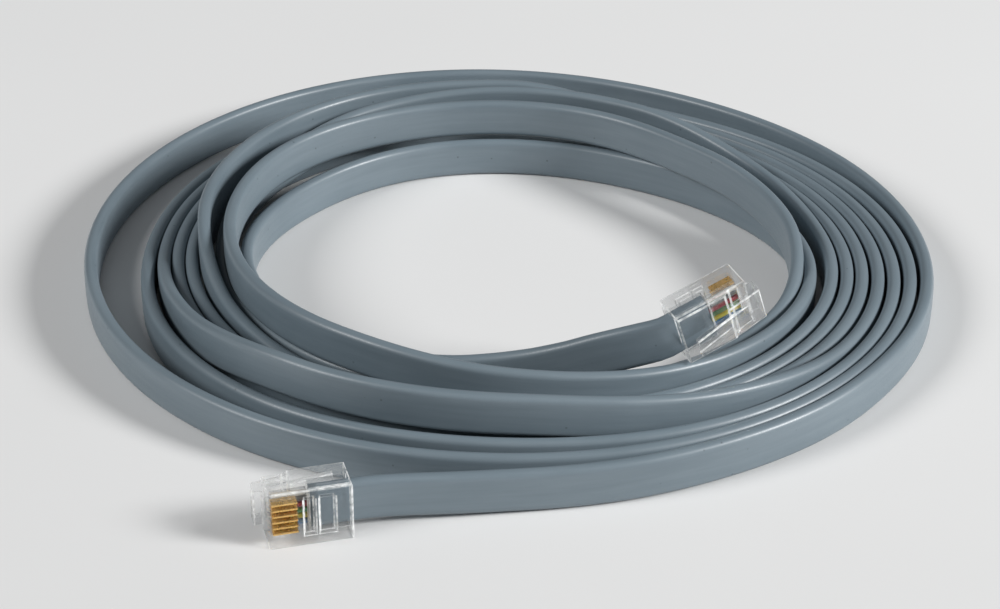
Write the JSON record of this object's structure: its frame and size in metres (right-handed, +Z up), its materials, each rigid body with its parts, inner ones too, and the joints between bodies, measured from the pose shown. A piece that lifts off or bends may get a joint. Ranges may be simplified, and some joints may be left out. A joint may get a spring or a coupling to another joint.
{
  "type": "telephone cord",
  "caption": "Flat satin blue-grey telephone cord, loosely coiled on its narrow edge, with a clear modular plug on each end.",
  "frame": {"origin": "on the floor under the middle of the coiled cord and its plugs", "axes": "+Z up from the floor, -Y towards the plug that lies outside the coil, +X to the right of that side"},
  "size_m": [0.1512, 0.166, 0.0242],
  "materials": {
    "jacket": "satin blue-grey PVC",
    "clear_plug": "clear moulded polycarbonate",
    "contact": "gold-plated blade",
    "wire_white": "insulated wire",
    "wire_black": "insulated wire",
    "wire_red": "insulated wire",
    "wire_green": "insulated wire",
    "wire_yellow": "insulated wire",
    "wire_blue": "insulated wire"
  },
  "bodies": {
    "root": {"cord_coil": "jacket", "cord_lead_a": "jacket", "cord_lead_b": "jacket", "plug_a_body": "clear_plug", "plug_a_contact_1": "contact", "plug_a_wire_white": "wire_white", "plug_a_contact_2": "contact", "plug_a_wire_black": "wire_black", "plug_a_contact_3": "contact", "plug_a_wire_red": "wire_red", "plug_a_contact_4": "contact", "plug_a_wire_green": "wire_green", "plug_a_contact_5": "contact", "plug_a_wire_yellow": "wire_yellow", "plug_a_contact_6": "contact", "plug_a_wire_blue": "wire_blue", "plug_b_body": "clear_plug", "plug_b_contact_1": "contact", "plug_b_wire_white": "wire_white", "plug_b_contact_2": "contact", "plug_b_wire_black": "wire_black", "plug_b_contact_3": "contact", "plug_b_wire_red": "wire_red", "plug_b_contact_4": "contact", "plug_b_wire_green": "wire_green", "plug_b_contact_5": "contact", "plug_b_wire_yellow": "wire_yellow", "plug_b_contact_6": "contact", "plug_b_wire_blue": "wire_blue"}
  },
  "joints": []
}
